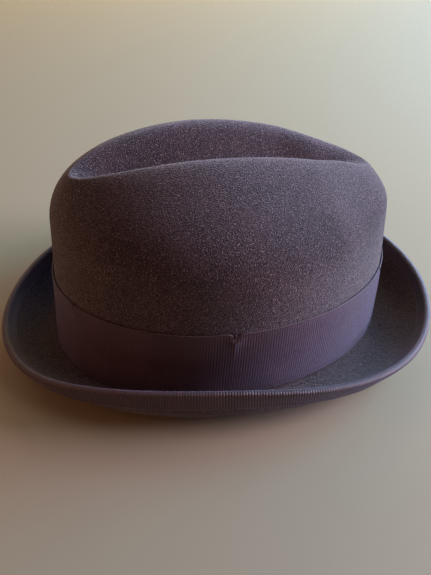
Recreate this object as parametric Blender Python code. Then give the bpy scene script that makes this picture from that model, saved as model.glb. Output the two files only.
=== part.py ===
# A felt fedora with a dented crown, a wide ribbon band with a bow on the wearer's left, a short
# brim curled up all round and bound with ribbon, and a lined inside with a leather sweatband.
# Front is +X, the wearer's left is +Y, and the hat rests on z = 0. Sizes here are millimetres.

import bmesh
import bpy
import numpy as np

METRE = 0.001  # metres in a millimetre
GAP = 0.3  # clearance left between pieces that touch
COLUMNS = 60  # facets round the crown

# The oval that the brim breaks from, measured outside the felt
HALF_LENGTH = 104.0
HALF_WIDTH = 83.4
EGG_SHARE = 0.012  # how much narrower the front is than the back
OVAL_SQUARING = -0.004  # pulls the four quarters in from a plain ellipse
BREAK_HEIGHT = 2.0  # where the wall meets the brim's top face
SADDLE = 3.7  # how far the break rises at the sides

# The crown
FELT = 1.9
TAPER_FRONT = 0.033  # lost from each end for each millimetre of height
TAPER_BACK = 0.044
SIDE_FLARE = 0.008
SIDE_BULGE = 4.6
BULGE_HEIGHT = 110.0
CREST_LENGTH = 92.6  # half the ring of the crest, front to back
CREST_FORWARD = 4.5
CREST_HALF_WIDTH = 30.0
CREST_FRONT_WIDEN = 0.1
CREST_HEIGHT = 121.5
CREST_SLOPE = 9.5  # fall towards the front
CREST_DROP = 18.6  # fall towards both ends
SHOULDER_FRONT = 11.0  # height over which the wall turns in to the crest
SHOULDER_BACK = 35.5
SHOULDER_SIDE = 52.5
SIDE_REACH_FRONT = 3.3  # how tightly the side's deep shoulder keeps to the side
SIDE_REACH_BACK = 2.0
SHOULDER = (  # share of the way in to the crest, share of the shoulder's height
    (0.00, 0.00), (0.03, 0.24), (0.155, 0.44), (0.38, 0.64), (0.62, 0.80), (0.84, 0.935), (0.95, 0.985),
)
DENT_LENGTH = 82.0  # half the dent's floor
DENT_FORWARD = 2.0
DENT_DEPTH = 25.0
DENT_FRONT_SHALLOWER = 0.3
DENT = (  # share of the way from crest to centre line, share of the depth
    (0.00, 0.00), (0.10, 0.01), (0.22, 0.08), (0.38, 0.30), (0.55, 0.62), (0.74, 0.90), (0.90, 0.99),
)
PINCH_DEPTH = 4.5  # the two hollows where fingers lift the hat
PINCH_X = 65.0
PINCH_Z = 95.0
PINCH_LENGTH = 27.0  # reach of each hollow, each way from its middle
PINCH_HEIGHT = 25.0

# The brim
BRIM_WIDTH = 39.4  # felt only, from the break to its cut edge
BRIM_FRONT_ADDS = 2.0
BRIM_ENDS_ADD = -2.35
BREAK_SLOPE = -8.0  # degrees, negative is down
FLAT_SHARE = 0.07  # share of the width before the brim starts to curl
EDGE_SLOPE = (79.8, -3.9, -5.9, 24.0, 3.3)  # degrees at the edge: mean, then cos t, cos 2t, cos 3t, cos 4t
BRIM_ROWS = (0.0, 0.08, 0.17, 0.28, 0.42, 0.56, 0.70, 0.85, 1.0)  # shares of the width
REST_FLAT = 0.4  # how much the felt flattens where it stands

# Ribbons
RIBBON = 0.6
BAND_BOTTOM = 2.8
BAND_TOP = 48.4
BINDING_WIDTH = 8.5  # each side of the edge
BINDING = 0.5
BINDING_GAP = 0.45  # its facets twist more than the others', so they need more room
TACK_ANGLES = {
    "right": -104.0, "front_right": -38.0, "front_left": 38.0, "rear_left": 150.0, "rear_right": 198.0,
}
TACK_LENGTH = 2.6
TACK_RADIUS = 0.35

# The bow on the left, in a plane wrapped round the wall: u towards the front, z up
BOW_LOOP_LENGTH = 33.0
BOW_LOOP_OPEN = 3.6  # how far the loop's outer layer stands off at its end
BOW_KNOT_HALF_WIDTH = 6.5
BOW_BOTTOM = 4.6
BOW_TOP = 46.8
TAIL_FRONT = 29.0
TAIL_REAR = -41.0
TAIL_NOTCH = 9.0

# The inside
LEATHER = 1.0
SWEAT_TOP = 58.0
SWEAT_BOTTOM = 3.4
REED_RADIUS = 0.8
REED_HEIGHT = 4.5
REED_COVER_TOP = 6.6  # the leather lies over the reed up to here
SWEAT_GAP_ANGLE = 0.3  # degrees each side of the seam at the back
SEAM_TAPE_HALF_WIDTH = 6.0
LINING = 0.5
LINING_BOTTOM = 47.0
LINING_SEAM = 84.0  # height of the seam between the lining's side and tip
LINING_TILT = 5.5  # how much lower that is at the front, and higher at the back
LINING_SLACK = 2.4
LINING_DOME = 2.0
TAG_SIZE = (24.0, 14.0, 0.4)
TAG_ANGLE = 150.0
TAG_BOTTOM = 30.0


def lerp(a, b, share):
    return a + (b - a) * share


# Shape of the crown and brim. t is the angle round the hat in radians, 0 at the front.

def break_rise(t):
    return SADDLE * np.sin(t) ** 2


def back_to_front(t, back, front):
    return lerp(back, front, 0.5 + 0.5 * np.cos(t))


def wall_point(t, z):
    """A point on the outside of the crown's wall, z above the break's own level."""
    t, z = np.broadcast_arrays(np.asarray(t, float), np.asarray(z, float))
    oval = 1 + OVAL_SQUARING * (1 - np.cos(4 * t))
    bulge = SIDE_BULGE * np.sin(np.pi * np.clip(z / BULGE_HEIGHT, 0, 1))
    x = (HALF_LENGTH - back_to_front(t, TAPER_BACK, TAPER_FRONT) * z) * np.cos(t) * oval
    y = (HALF_WIDTH + SIDE_FLARE * z + bulge) * np.sin(t) * (1 - EGG_SHARE * np.cos(t)) * oval
    return np.stack([x, y, z + break_rise(t)], -1)


def crest_point(t):
    s = np.cos(t)
    x = CREST_LENGTH * s + CREST_FORWARD * s ** 2
    y = CREST_HALF_WIDTH * np.sin(t) * (1 + CREST_FRONT_WIDEN * s)
    return np.stack([x, y, CREST_HEIGHT - CREST_SLOPE * s - CREST_DROP * s ** 2], -1)


def shoulder_start(t):
    """Height of the wall's top, where it starts to turn in, above the break's own level."""
    side = np.abs(np.sin(t)) ** back_to_front(t, SIDE_REACH_BACK, SIDE_REACH_FRONT)
    depth = lerp(back_to_front(t, SHOULDER_BACK, SHOULDER_FRONT), SHOULDER_SIDE, side)
    return crest_point(t)[..., 2] - depth - break_rise(t)


def shoulder_rows(t):
    crest = crest_point(t)
    rows = []
    for inward, upward in SHOULDER:
        top = shoulder_start(t)
        outside = wall_point(t, top)
        row = lerp(outside, crest, inward)
        row[:, 2] = lerp(outside[:, 2], crest[:, 2], upward)
        rows.append(row)
    return rows


def dent_rows(t):
    s = np.cos(t)
    crest = crest_point(t)
    depth = DENT_DEPTH * (1 - s ** 4) * (1 - DENT_FRONT_SHALLOWER * s)
    floor = np.stack([DENT_LENGTH * s + DENT_FORWARD * s ** 2, 0 * s, crest[:, 2] - depth], -1)
    rows = []
    for inward, downward in DENT:
        row = lerp(crest, floor, inward)
        row[:, 2] = lerp(crest[:, 2], floor[:, 2], downward)
        rows.append(row)
    return rows


def pinched(rows):
    """The rows with the two front hollows pressed in."""
    for row in rows:
        far = ((row[:, 0] - PINCH_X) / PINCH_LENGTH) ** 2 + ((row[:, 2] - PINCH_Z) / PINCH_HEIGHT) ** 2
        row[:, 1] -= np.tanh(row[:, 1] / 12.0) * PINCH_DEPTH * np.clip(1 - far, 0, 1) ** 2
    return rows


def crown_rows(t, lowest):
    """Rows of points from a height on the wall up over the crest and down into the dent."""
    wall_top = shoulder_start(t)
    wall = [wall_point(t, lerp(lowest, wall_top, share)) for share in (0.0, 0.25, 0.5, 0.75)]
    return pinched(wall + shoulder_rows(t) + dent_rows(t))


def brim_profile(t):
    """Distance out and height of the brim's top face, from the break, at each of BRIM_ROWS."""
    steps = 60
    c = [np.cos(k * t) for k in range(5)]
    edge = np.radians(sum(a * b for a, b in zip(EDGE_SLOPE, c)))
    width = BRIM_WIDTH + BRIM_FRONT_ADDS * c[1] + BRIM_ENDS_ADD * c[2]
    start = np.radians(BREAK_SLOPE)
    out, up = [0 * t], [0 * t]
    for i in range(steps):
        share = max(((i + 0.5) / steps - FLAT_SHARE) / (1 - FLAT_SHARE), 0)
        slope = lerp(start, edge, share)
        out.append(out[-1] + np.cos(slope) * width / steps)
        up.append(up[-1] + np.sin(slope) * width / steps)
    picked = [round(share * steps) for share in BRIM_ROWS]
    return [out[i] for i in picked], [up[i] for i in picked]


def outward(t):
    """Level unit vectors square to the break."""
    step = 1e-3
    along = wall_point(t + step, BREAK_HEIGHT) - wall_point(t - step, BREAK_HEIGHT)
    side = np.stack([along[:, 1], -along[:, 0], 0 * t], -1)
    return side / np.linalg.norm(side, axis=1)[:, None]


def brim_rows(t):
    """Rows of the brim's top face, from its cut edge in to the break."""
    base = wall_point(t, BREAK_HEIGHT)
    side = outward(t)
    rows = []
    for out, up in zip(*brim_profile(t)):
        rows.append(base + side * out[:, None] + np.stack([0 * t, 0 * t, up], -1))
    return rows[::-1]


def row_shifts(rows):
    """For each point, the vector that moves the sheet one millimetre to its outer side."""
    grid = np.array(rows)
    along = np.roll(grid, -1, axis=1) - np.roll(grid, 1, axis=1)
    across = grid[1:] - grid[:-1]
    before = np.concatenate([across[:1], across])
    after = np.concatenate([across, across[-1:]])

    def unit(v):
        return v / np.linalg.norm(v, axis=-1, keepdims=True)

    first, second = unit(np.cross(along, before)), unit(np.cross(along, after))
    facing = (first * second).sum(-1, keepdims=True)
    return (first + second) / (1 + facing)


def shifted(rows, distance):
    return [row + shift * distance for row, shift in zip(rows, row_shifts(rows))]


# Mesh making

def new_object(name, points, faces, material):
    mesh = bpy.data.meshes.new(name)
    bm = bmesh.new()
    vertices = [bm.verts.new(tuple(p)) for p in points]
    for face in faces:
        bm.faces.new([vertices[i] for i in face])
    bmesh.ops.recalc_face_normals(bm, faces=bm.faces)
    if bm.calc_volume(signed=True) < 0:
        bmesh.ops.reverse_faces(bm, faces=bm.faces)
    bm.to_mesh(mesh)
    bm.free()
    mesh.materials.append(material)
    mesh.shade_smooth()
    mesh.set_sharp_from_angle(angle=np.radians(40))
    piece = bpy.data.objects.new(name, mesh)
    bpy.context.scene.collection.objects.link(piece)
    return piece


def placed(points):
    """Millimetres in the pattern's own frame to metres in the hat's."""
    return (np.asarray(points) - np.array(frame_origin())) * METRE


def loft(name, loops, material, closed=True):
    """A solid whose cross-sections are closed loops: loops[i][j] is point i of section j."""
    grid = np.array(loops).transpose(1, 0, 2)
    sections, count = grid.shape[:2]
    faces = []
    for j in range(sections if closed else sections - 1):
        near, far = j * count, (j + 1) % sections * count
        for i in range(count):
            k = (i + 1) % count
            faces.append((near + i, near + k, far + k, far + i))
    if not closed:
        faces.append(range(count))
        faces.append(range((sections - 1) * count, sections * count))
    return new_object(name, placed(grid.reshape(-1, 3)), faces, material)


def zipped_shell(name, outside, inside, material):
    """A cap: two sheets of rows joined at their first row, each closed along its middle line."""
    count = len(outside[0])
    rows = len(outside)
    points = np.concatenate([np.concatenate(outside), np.concatenate(inside)])
    faces = []
    for sheet in (0, rows * count):
        for i in range(rows - 1):
            for j in range(count):
                a, b = sheet + i * count, sheet + (i + 1) * count
                k = (j + 1) % count
                faces.append((a + j, a + k, b + k, b + j))
        last = sheet + (rows - 1) * count
        half = count // 2
        faces.append((last, last + 1, last + count - 1))
        faces.append((last + half, last + half + 1, last + half - 1))
        for j in range(1, half - 1):
            faces.append((last + j, last + j + 1, last + count - j - 1, last + count - j))
    for j in range(count):
        k = (j + 1) % count
        faces.append((j, k, rows * count + k, rows * count + j))
    return new_object(name, placed(points), faces, material)


def wrapped(u, z, offset, centre):
    """A point at arc distance u and height z on the wall, standing off it by offset."""
    t = np.atleast_1d(centre - np.asarray(u, float) / HALF_LENGTH)
    return wall_point(t, z) + outward(t) * np.asarray(offset)[..., None]


def matt_material(name, colour, roughness):
    material = bpy.data.materials.new(name)
    material.use_nodes = True
    shader = material.node_tree.nodes["Principled BSDF"]
    shader.inputs["Base Color"].default_value = (*colour, 1)
    shader.inputs["Roughness"].default_value = roughness
    shader.inputs["Metallic"].default_value = 0
    material.diffuse_color = (*colour, 1)
    return material


# The felt body

def all_round():
    return np.arange(COLUMNS) * 2 * np.pi / COLUMNS


def felt_sheets():
    """Outside and inside of the felt, as rows from the brim's cut edge to the middle of the dent."""
    t = all_round()
    outside = brim_rows(t) + crown_rows(t, BREAK_HEIGHT)[1:]
    inside = shifted(outside, -FELT)
    rest = min(row[:, 2].min() for row in inside) + REST_FLAT
    for row in inside:
        row[:, 2] = np.maximum(row[:, 2], rest)
    return outside, inside, rest


def frame_origin():
    """The point of the pattern's own frame that is under the middle of the finished hat."""
    outside, _, rest = felt_sheets()
    edge = binding_loops()
    lows = min(loop[:, 0].min() for loop in edge)
    highs = max(loop[:, 0].max() for loop in edge)
    return (lows + highs) / 2, 0.0, rest


def make_felt_body(material):
    outside, inside, _ = felt_sheets()
    zipped_shell("felt_body", outside, inside, material)


def binding_loops():
    """Cross-sections of the ribbon folded over the brim's edge, as closed loops."""
    t = all_round()
    rows = brim_rows(t)
    shifts = row_shifts(rows)
    top, under = rows[0], rows[0] - shifts[0] * FELT
    out = rows[0] - rows[1]
    width = np.linalg.norm(out, axis=1)[:, None]
    out /= width
    up = shifts[0] / np.linalg.norm(shifts[0], axis=1)[:, None]
    share = (BINDING_WIDTH - width) / np.linalg.norm(rows[2] - rows[1], axis=1)[:, None]
    back = lerp(rows[1], rows[2], share)
    back_shift = lerp(shifts[1], shifts[2], share)
    near, far = BINDING_GAP, BINDING_GAP + BINDING
    loops = [
        back + back_shift * far,
        rows[1] + shifts[1] * far,
        top + up * far,
        top + up * (near + 0.2 * BINDING) + out * (near + 0.6 * BINDING),
        lerp(top, under, 0.5) + out * far,
        under - up * (near + 0.2 * BINDING) + out * (near + 0.6 * BINDING),
        under - up * far,
        rows[1] - shifts[1] * (FELT + far),
        back - back_shift * (FELT + far),
        back - back_shift * (FELT + near),
        rows[1] - shifts[1] * (FELT + near),
        under - up * near + out * near,
        top + up * near + out * near,
        rows[1] + shifts[1] * near,
        back + back_shift * near,
    ]
    return loops


def make_brim_binding(material):
    loft("brim_binding", binding_loops(), material)


# Band and bow

def wall_band(name, levels, inner, outer, t, material, closed=True):
    """A strip standing off the wall; inner and outer give the stand-off at each level."""
    rows = [wall_point(t, z) for z in levels]
    side = outward(t)
    faces_out = [row + side * off for row, off in zip(rows, outer)]
    faces_in = [row + side * off for row, off in zip(rows, inner)]
    return loft(name, faces_out + faces_in[::-1], material, closed)


def make_hat_band(material):
    levels = np.linspace(BAND_BOTTOM, BAND_TOP, 4)
    wall_band("hat_band", levels, [GAP] * 4, [GAP + RIBBON] * 4, all_round(), material)


def make_tacks(material):
    """Short thread stitches over the band's top edge."""
    middle = GAP + RIBBON + GAP + TACK_RADIUS
    for place, degrees in TACK_ANGLES.items():
        centre = np.radians(degrees)
        loops = []
        for turn in np.arange(6) * np.pi / 3:
            z = BAND_TOP - 0.4 + np.array([-0.5, -0.35, 0.35, 0.5]) * TACK_LENGTH
            radius = TACK_RADIUS * np.array([0.4, 1, 1, 0.4])
            loops.append(wrapped(radius * np.cos(turn), z, middle + radius * np.sin(turn), centre))
        loft("band_tack_" + place, loops, material, closed=False)


def bow_strip(name, u, offsets, material, bottom=BOW_BOTTOM, top=BOW_TOP):
    """A ribbon standing on edge: its path lies in u and stand-off, its width runs up the wall."""
    u, offsets = np.asarray(u, float), np.asarray(offsets, float)
    du, do = np.gradient(u), np.gradient(offsets)
    size = np.hypot(du, do)
    half = RIBBON / 2
    side_u, side_o = -do / size * half, du / size * half
    levels = (bottom, lerp(bottom, top, 0.5), top)
    loops = [wrapped(u + side_u, z, offsets + side_o, np.pi / 2) for z in levels]
    loops += [wrapped(u - side_u, z, offsets - side_o, np.pi / 2) for z in reversed(levels)]
    return loft(name, loops, material, closed=False)


def make_bow(material):
    under = GAP + RIBBON + GAP
    tail_mid = under + RIBBON / 2
    loop_low = tail_mid + RIBBON + GAP
    loop_high = loop_low + RIBBON + GAP
    # The tail lies flat under the loops, and its rear end is cut to a swallowtail.
    columns = np.linspace(TAIL_FRONT, TAIL_REAR, 9)
    middle = lerp(BOW_BOTTOM, BOW_TOP, 0.5)
    ends = columns.copy()
    ends[-1] = TAIL_REAR + TAIL_NOTCH
    levels = ((BOW_BOTTOM, columns), (middle, ends), (BOW_TOP, columns))
    loops = [wrapped(u, z, under + RIBBON + 0 * u, np.pi / 2) for z, u in levels]
    loops += [wrapped(u, z, under + 0 * u, np.pi / 2) for z, u in reversed(levels)]
    loft("bow_tail", loops, material, closed=False)
    # Each loop is one ribbon folded back on itself, pinched flat at the knot.
    for name, way in (("bow_loop_front", 1), ("bow_loop_rear", -1)):
        run = np.linspace(1.0, BOW_LOOP_LENGTH - 2, 6)
        spread = BOW_LOOP_OPEN * np.sin(np.pi / 2 * (run - 1) / (BOW_LOOP_LENGTH - 3)) ** 2
        turn = np.radians([-60, -20, 20, 60])
        radius = BOW_LOOP_OPEN / 2 + (loop_high - loop_low) / 2
        bend_u = BOW_LOOP_LENGTH - 2 + radius * np.cos(turn)
        bend_o = loop_low + radius + radius * np.sin(turn)
        u = np.concatenate([run, bend_u, run[::-1]])
        offsets = np.concatenate([0 * run + loop_low, bend_o, (loop_high + spread)[::-1]])
        bow_strip(name, way * u, offsets, material, BOW_BOTTOM + 0.6, BOW_TOP - 0.6)
    # The knot is a short ribbon over the pinched middle, turned in behind at top and bottom.
    face = loop_high + RIBBON / 2 + GAP
    section = (
        (BOW_BOTTOM - 1.6, under), (BOW_BOTTOM - 1.6, face), (BOW_BOTTOM - 0.4, face + RIBBON),
        (middle, face + RIBBON + 0.5), (BOW_TOP + 0.4, face + RIBBON), (BOW_TOP + 1.2, face),
        (BOW_TOP + 1.2, under), (BOW_TOP + 0.4, under), (BOW_TOP + 0.4, face),
        (middle, face + 0.5), (BOW_BOTTOM - 0.6, face), (BOW_BOTTOM - 0.6, under),
    )
    columns = np.linspace(-BOW_KNOT_HALF_WIDTH, BOW_KNOT_HALF_WIDTH, 4)
    loops = [wrapped(columns, z, off + 0 * columns, np.pi / 2) for z, off in section]
    loft("bow_knot", loops, material, closed=False)


# The inside

def make_sweatband(material):
    reed_face = -(FELT + GAP + 2 * REED_RADIUS + GAP)
    wall_face = -(FELT + GAP + LINING + GAP)
    levels = (SWEAT_BOTTOM, REED_COVER_TOP, REED_COVER_TOP + 5, 28.0, SWEAT_TOP)
    backs = (reed_face, reed_face, wall_face, wall_face, wall_face)
    fronts = [off - LEATHER for off in backs]
    step = 360 / COLUMNS
    degrees = [180 + SWEAT_GAP_ANGLE, *(180 + step * i for i in range(1, COLUMNS)), 540 - SWEAT_GAP_ANGLE]
    wall_band("sweatband", levels, fronts, backs, np.radians(degrees), material, closed=False)


def make_sweatband_reed(material):
    t = all_round()
    centre = -(FELT + GAP + REED_RADIUS)
    side = outward(t)
    loops = []
    for turn in np.arange(8) * np.pi / 4:
        row = wall_point(t, REED_HEIGHT + REED_RADIUS * np.sin(turn))
        loops.append(row + side * (centre + REED_RADIUS * np.cos(turn)))
    loft("sweatband_reed", loops, material)


def back_plate(name, centre, half_width, bottom, top, near, far, material, waist=0.0):
    """A small plate on the wall's inner side; waist pinches the middle, as on a bow."""
    columns = np.linspace(-half_width, half_width, 5)
    pinch = waist * np.array([0, 0.35, 1, 0.35, 0])
    levels = (bottom + pinch, top - pinch)
    loops = [wrapped(columns, z, near + 0 * columns, centre) for z in levels]
    loops += [wrapped(columns, z, far + 0 * columns, centre) for z in reversed(levels)]
    return loft(name, loops, material, closed=False)


def make_sweatband_trim(tape, ribbon, paper):
    behind = -(FELT + GAP)
    back_plate("sweatband_seam_tape", np.pi, SEAM_TAPE_HALF_WIDTH, REED_COVER_TOP + 6, LINING_BOTTOM - GAP,
               behind, behind - LINING, tape)
    face = -(FELT + GAP + LINING + GAP + LEATHER + GAP)
    back_plate("sweatband_bow", np.pi, 8.0, 14.0, 22.0, face, face - 1.4, ribbon, waist=2.4)
    width, height, thickness = TAG_SIZE
    back_plate("size_tag", np.radians(TAG_ANGLE), width / 2, TAG_BOTTOM, TAG_BOTTOM + height,
               face, face - thickness, paper)


def crown_ring(t, level):
    """The outside of the crown at a given height at each angle, on the wall or its shoulder."""
    inward, upward = np.array(SHOULDER).T
    start, crest = shoulder_start(t), crest_point(t)
    wall = wall_point(t, np.minimum(level - break_rise(t), start))
    share = np.clip((level - wall[:, 2]) / (crest[:, 2] - wall[:, 2]), 0, 1)
    ring = lerp(wall, crest, np.interp(share, upward, inward)[:, None])
    ring[:, 2] = level
    return pinched([ring])[0]


def make_lining(material):
    """The lining hangs a little loose: a side up the wall, and an oval tip sewn to it under the dent."""
    t = all_round()
    side = outward(t)
    seam = LINING_SEAM - LINING_TILT * np.cos(t)
    bottom = LINING_BOTTOM + break_rise(t)
    rows = []
    for share, hang in ((0.0, 0.0), (0.4, 0.0), (0.7, 0.6), (1.0, 1.0)):
        slack = FELT + GAP + LINING_SLACK * hang
        rows.append(crown_ring(t, lerp(bottom, seam, share)) - side * slack)
    loft("lining_side", rows + [row - side * LINING for row in rows[::-1]], material)
    middle = rows[-1] * (1, 0, 1)
    outside = []
    for share in (0.0, 0.2, 0.45, 0.7, 0.92):
        row = lerp(rows[-1], middle * (0.55, 1, 1), share)
        row[:, 2] = LINING_SEAM - LINING_TILT * np.cos(t) * lerp(1, 0.55, share)
        row[:, 2] += GAP + LINING + LINING_DOME * (1 - (1 - share) ** 2)
        outside.append(row)
    inside = [row - (0, 0, LINING) for row in outside]
    zipped_shell("lining_tip", outside, inside, material)


def main():
    for old in list(bpy.data.objects):
        bpy.data.objects.remove(old, do_unlink=True)
    felt = matt_material("felt", (0.030, 0.020, 0.021), 0.95)
    grosgrain = matt_material("grosgrain", (0.028, 0.017, 0.020), 0.75)
    thread = matt_material("thread", (0.045, 0.030, 0.032), 0.8)
    leather = matt_material("leather", (0.150, 0.070, 0.035), 0.5)
    satin = matt_material("satin", (0.260, 0.200, 0.130), 0.35)
    cotton = matt_material("cotton_tape", (0.060, 0.040, 0.035), 0.9)
    paper = matt_material("paper", (0.700, 0.660, 0.560), 0.8)
    make_felt_body(felt)
    make_hat_band(grosgrain)
    make_bow(grosgrain)
    make_tacks(thread)
    make_brim_binding(grosgrain)
    make_sweatband(leather)
    make_sweatband_reed(cotton)
    make_sweatband_trim(cotton, grosgrain, paper)
    make_lining(satin)


main()
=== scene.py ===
import bmesh
import bpy
import numpy as np
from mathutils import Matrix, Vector


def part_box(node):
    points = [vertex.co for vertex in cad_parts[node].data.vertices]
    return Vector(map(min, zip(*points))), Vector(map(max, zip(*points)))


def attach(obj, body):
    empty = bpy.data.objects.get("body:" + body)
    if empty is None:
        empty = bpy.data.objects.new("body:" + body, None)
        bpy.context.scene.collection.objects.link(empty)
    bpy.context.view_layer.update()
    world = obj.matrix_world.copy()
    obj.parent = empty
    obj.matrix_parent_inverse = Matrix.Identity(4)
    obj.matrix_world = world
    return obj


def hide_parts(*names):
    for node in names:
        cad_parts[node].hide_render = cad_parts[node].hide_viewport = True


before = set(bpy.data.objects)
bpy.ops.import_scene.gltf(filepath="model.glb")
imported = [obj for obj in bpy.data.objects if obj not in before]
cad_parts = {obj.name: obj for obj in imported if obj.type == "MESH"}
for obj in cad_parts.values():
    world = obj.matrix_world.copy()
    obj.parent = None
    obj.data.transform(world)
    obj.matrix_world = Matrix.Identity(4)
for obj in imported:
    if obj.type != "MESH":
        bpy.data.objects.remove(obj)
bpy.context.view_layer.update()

metres = 0.001  # in a millimetre
rear, left = np.pi, np.pi / 2

hatBlock = {  # the wooden block and the flange that the felt was shaped on
    "halfLength": 104.0, "halfWidth": 83.4, "eggShare": 0.012, "squaring": -0.004,
    "breakHeight": 2.0, "saddle": 3.7, "felt": 1.9,
    "taperFront": 0.033, "taperBack": 0.044, "sideFlare": 0.008, "sideBulge": 4.6, "bulgeHeight": 110.0,
    "crestLength": 92.6, "crestForward": 4.5, "crestHalfWidth": 30.0, "crestFrontWiden": 0.1,
    "crestHeight": 121.5, "crestSlope": 9.5, "crestDrop": 18.6,
    "shoulderFront": 11.0, "shoulderBack": 35.5, "shoulderSide": 52.5, "reachFront": 3.3, "reachBack": 2.0,
    "dentLength": 82.0, "dentForward": 2.0, "dentDepth": 25.0, "dentFrontShallower": 0.3,
    "pinchDepth": 4.5, "pinchX": 65.0, "pinchZ": 95.0, "pinchLength": 27.0, "pinchHeight": 25.0,
    "brimWidth": 39.4, "brimFrontAdds": 2.0, "brimEndsAdd": -2.35, "breakSlope": -8.0, "flatShare": 0.07,
    "edgeSlope": (79.8, -3.9, -5.9, 24.0, 3.3),  # degrees at the edge: mean, then cos t, cos 2t, cos 3t, cos 4t
    "shoulder": ((0, 0), (.03, .24), (.155, .44), (.38, .64), (.62, .80), (.84, .935), (.95, .985)),
    "dent": ((0, 0), (.10, .01), (.22, .08), (.38, .30), (.55, .62), (.74, .90), (.90, .99), (1, 1)),
}


# Shape of the block.

def lerp(a, b, share):
    return a + (b - a) * share


def unit(vectors):
    return vectors / np.linalg.norm(vectors, axis=-1, keepdims=True)


def ease(x):  # 0 to 1 with soft ends
    x = np.clip(x, 0, 1)
    return x * x * (3 - 2 * x)


def hump(x, width):
    return np.exp(-(x / width) ** 2)


def alongHat(t, back, front):
    return lerp(back, front, 0.5 + 0.5 * np.cos(t))


def breakRise(t):
    return hatBlock["saddle"] * np.sin(t) ** 2


def wallPoint(t, z):  # outside of the crown's wall, z above the break's own level
    b = hatBlock
    t, z = np.broadcast_arrays(np.asarray(t, float), np.asarray(z, float))
    oval = 1 + b["squaring"] * (1 - np.cos(4 * t))
    bulge = b["sideBulge"] * np.sin(np.pi * np.clip(z / b["bulgeHeight"], 0, 1))
    x = (b["halfLength"] - alongHat(t, b["taperBack"], b["taperFront"]) * z) * np.cos(t) * oval
    y = (b["halfWidth"] + b["sideFlare"] * z + bulge) * np.sin(t) * (1 - b["eggShare"] * np.cos(t)) * oval
    return np.stack([x, y, z + breakRise(t)], -1)


def outward(t):  # level unit vectors square to the break
    step = 1e-3
    run = wallPoint(t + step, hatBlock["breakHeight"]) - wallPoint(t - step, hatBlock["breakHeight"])
    return unit(np.stack([run[..., 1], -run[..., 0], 0 * np.asarray(t)], -1))


def onWall(t, z, standOff):
    return wallPoint(t, z) + outward(np.asarray(t, float)) * np.asarray(standOff)[..., None]


def crestPoint(t):
    b = hatBlock
    s = np.cos(t)
    x = b["crestLength"] * s + b["crestForward"] * s ** 2
    y = b["crestHalfWidth"] * np.sin(t) * (1 + b["crestFrontWiden"] * s)
    return np.stack([x, y, b["crestHeight"] - b["crestSlope"] * s - b["crestDrop"] * s ** 2], -1)


def shoulderStart(t):
    b = hatBlock
    side = np.abs(np.sin(t)) ** alongHat(t, b["reachBack"], b["reachFront"])
    depth = lerp(alongHat(t, b["shoulderBack"], b["shoulderFront"]), b["shoulderSide"], side)
    return crestPoint(t)[..., 2] - depth - breakRise(t)


def pinched(points):  # the two front hollows that fingers make
    b = hatBlock
    far = ((points[..., 0] - b["pinchX"]) / b["pinchLength"]) ** 2
    far = far + ((points[..., 2] - b["pinchZ"]) / b["pinchHeight"]) ** 2
    points[..., 1] -= np.tanh(points[..., 1] / 12.0) * b["pinchDepth"] * np.clip(1 - far, 0, 1) ** 2
    return points


def crownRows(t, lowest):  # from a height on the wall, over the crest and down to the dent's middle line
    b = hatBlock
    s, top, crest = np.cos(t), shoulderStart(t), crestPoint(t)
    wallTop = wallPoint(t, top)
    rows = [wallPoint(t, lerp(lowest, top, share)) for share in np.arange(10) / 10]
    for inward, upward in b["shoulder"]:
        row = lerp(wallTop, crest, inward)
        row[:, 2] = lerp(wallTop[:, 2], crest[:, 2], upward)
        rows.append(row)
    depth = b["dentDepth"] * (1 - s ** 4) * (1 - b["dentFrontShallower"] * s)
    floor = np.stack([b["dentLength"] * s + b["dentForward"] * s ** 2, 0 * s, crest[:, 2] - depth], -1)
    for inward, downward in b["dent"]:
        row = lerp(crest, floor, inward)
        row[:, 2] = lerp(crest[:, 2], floor[:, 2], downward)
        rows.append(row)
    return pinched(np.array(rows))


def softened(rows, spacing):  # a smooth sheet through the rows, with more of them
    ends = rows[-2][(-np.arange(rows.shape[1])) % rows.shape[1]]  # the sheet goes on beyond its middle line
    grid = np.concatenate([[2 * rows[0] - rows[1]], rows, [ends]])
    gap = np.linalg.norm(grid[1:] - grid[:-1], axis=2, keepdims=True) ** 0.5 + 1e-6
    made = []
    for i in range(1, len(rows)):
        before, span, after = gap[i - 1], gap[i], gap[i + 1]
        a, b, c, d = grid[i - 1:i + 3]
        start = ((b - a) / before - (c - a) / (before + span)) * span + (c - b)
        end = (c - b) - ((d - b) / (span + after) - (d - c) / after) * span
        steps = max(1, round(float(np.linalg.norm(c - b, axis=1).mean()) / spacing))
        for s in np.arange(steps) / steps:
            made.append(b * (2 * s ** 3 - 3 * s ** 2 + 1) + start * (s ** 3 - 2 * s ** 2 + s)
                        + c * (3 * s ** 2 - 2 * s ** 3) + end * (s ** 3 - s ** 2))
    return np.array(made + [rows[-1]])


brimSteps = 60


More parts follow.
